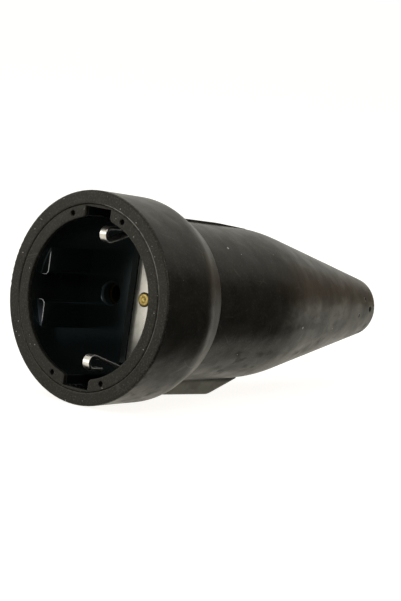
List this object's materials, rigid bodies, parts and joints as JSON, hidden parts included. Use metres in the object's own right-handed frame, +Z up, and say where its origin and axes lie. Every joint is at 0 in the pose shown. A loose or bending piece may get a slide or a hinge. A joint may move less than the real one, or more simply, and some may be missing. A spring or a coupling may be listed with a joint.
{
  "type": "rubber socket connector",
  "caption": "Straight rubber mains socket connector: recessed round well with earth springs, stepped head, ribbed barrel and a tapered tail with a cable bore.",
  "frame": {"origin": "centre of the round opening in the mating face", "axes": "+X along the connector's axis from the mating face to the cable end, +Z up through the upper earth spring, rib underneath"},
  "size_m": [0.109, 0.0524, 0.0524],
  "materials": {
    "rubber": "matte moulded",
    "carrier_plastic": "glossy moulded",
    "nickel": "satin nickel plate",
    "brass": "bright turned",
    "spring_steel": "rolled",
    "zinc_steel": "zinc plated",
    "cover_plastic": "matte moulded"
  },
  "bodies": {
    "root": {"rubber_sleeve": "rubber", "face_ring": "rubber", "contact_carrier": "carrier_plastic", "earth_bracket": "nickel", "earth_rivet": "brass", "earth_terminal": "brass", "earth_terminal_screw": "zinc_steel", "line_contact": "brass", "neutral_contact": "brass", "line_contact_spring": "spring_steel", "neutral_contact_spring": "spring_steel", "line_terminal_screw": "zinc_steel", "neutral_terminal_screw": "zinc_steel", "rear_cover": "cover_plastic", "cover_screws": "zinc_steel", "clamp_bridge": "cover_plastic", "clamp_screws": "zinc_steel", "clamp_nuts": "zinc_steel"}
  },
  "joints": []
}
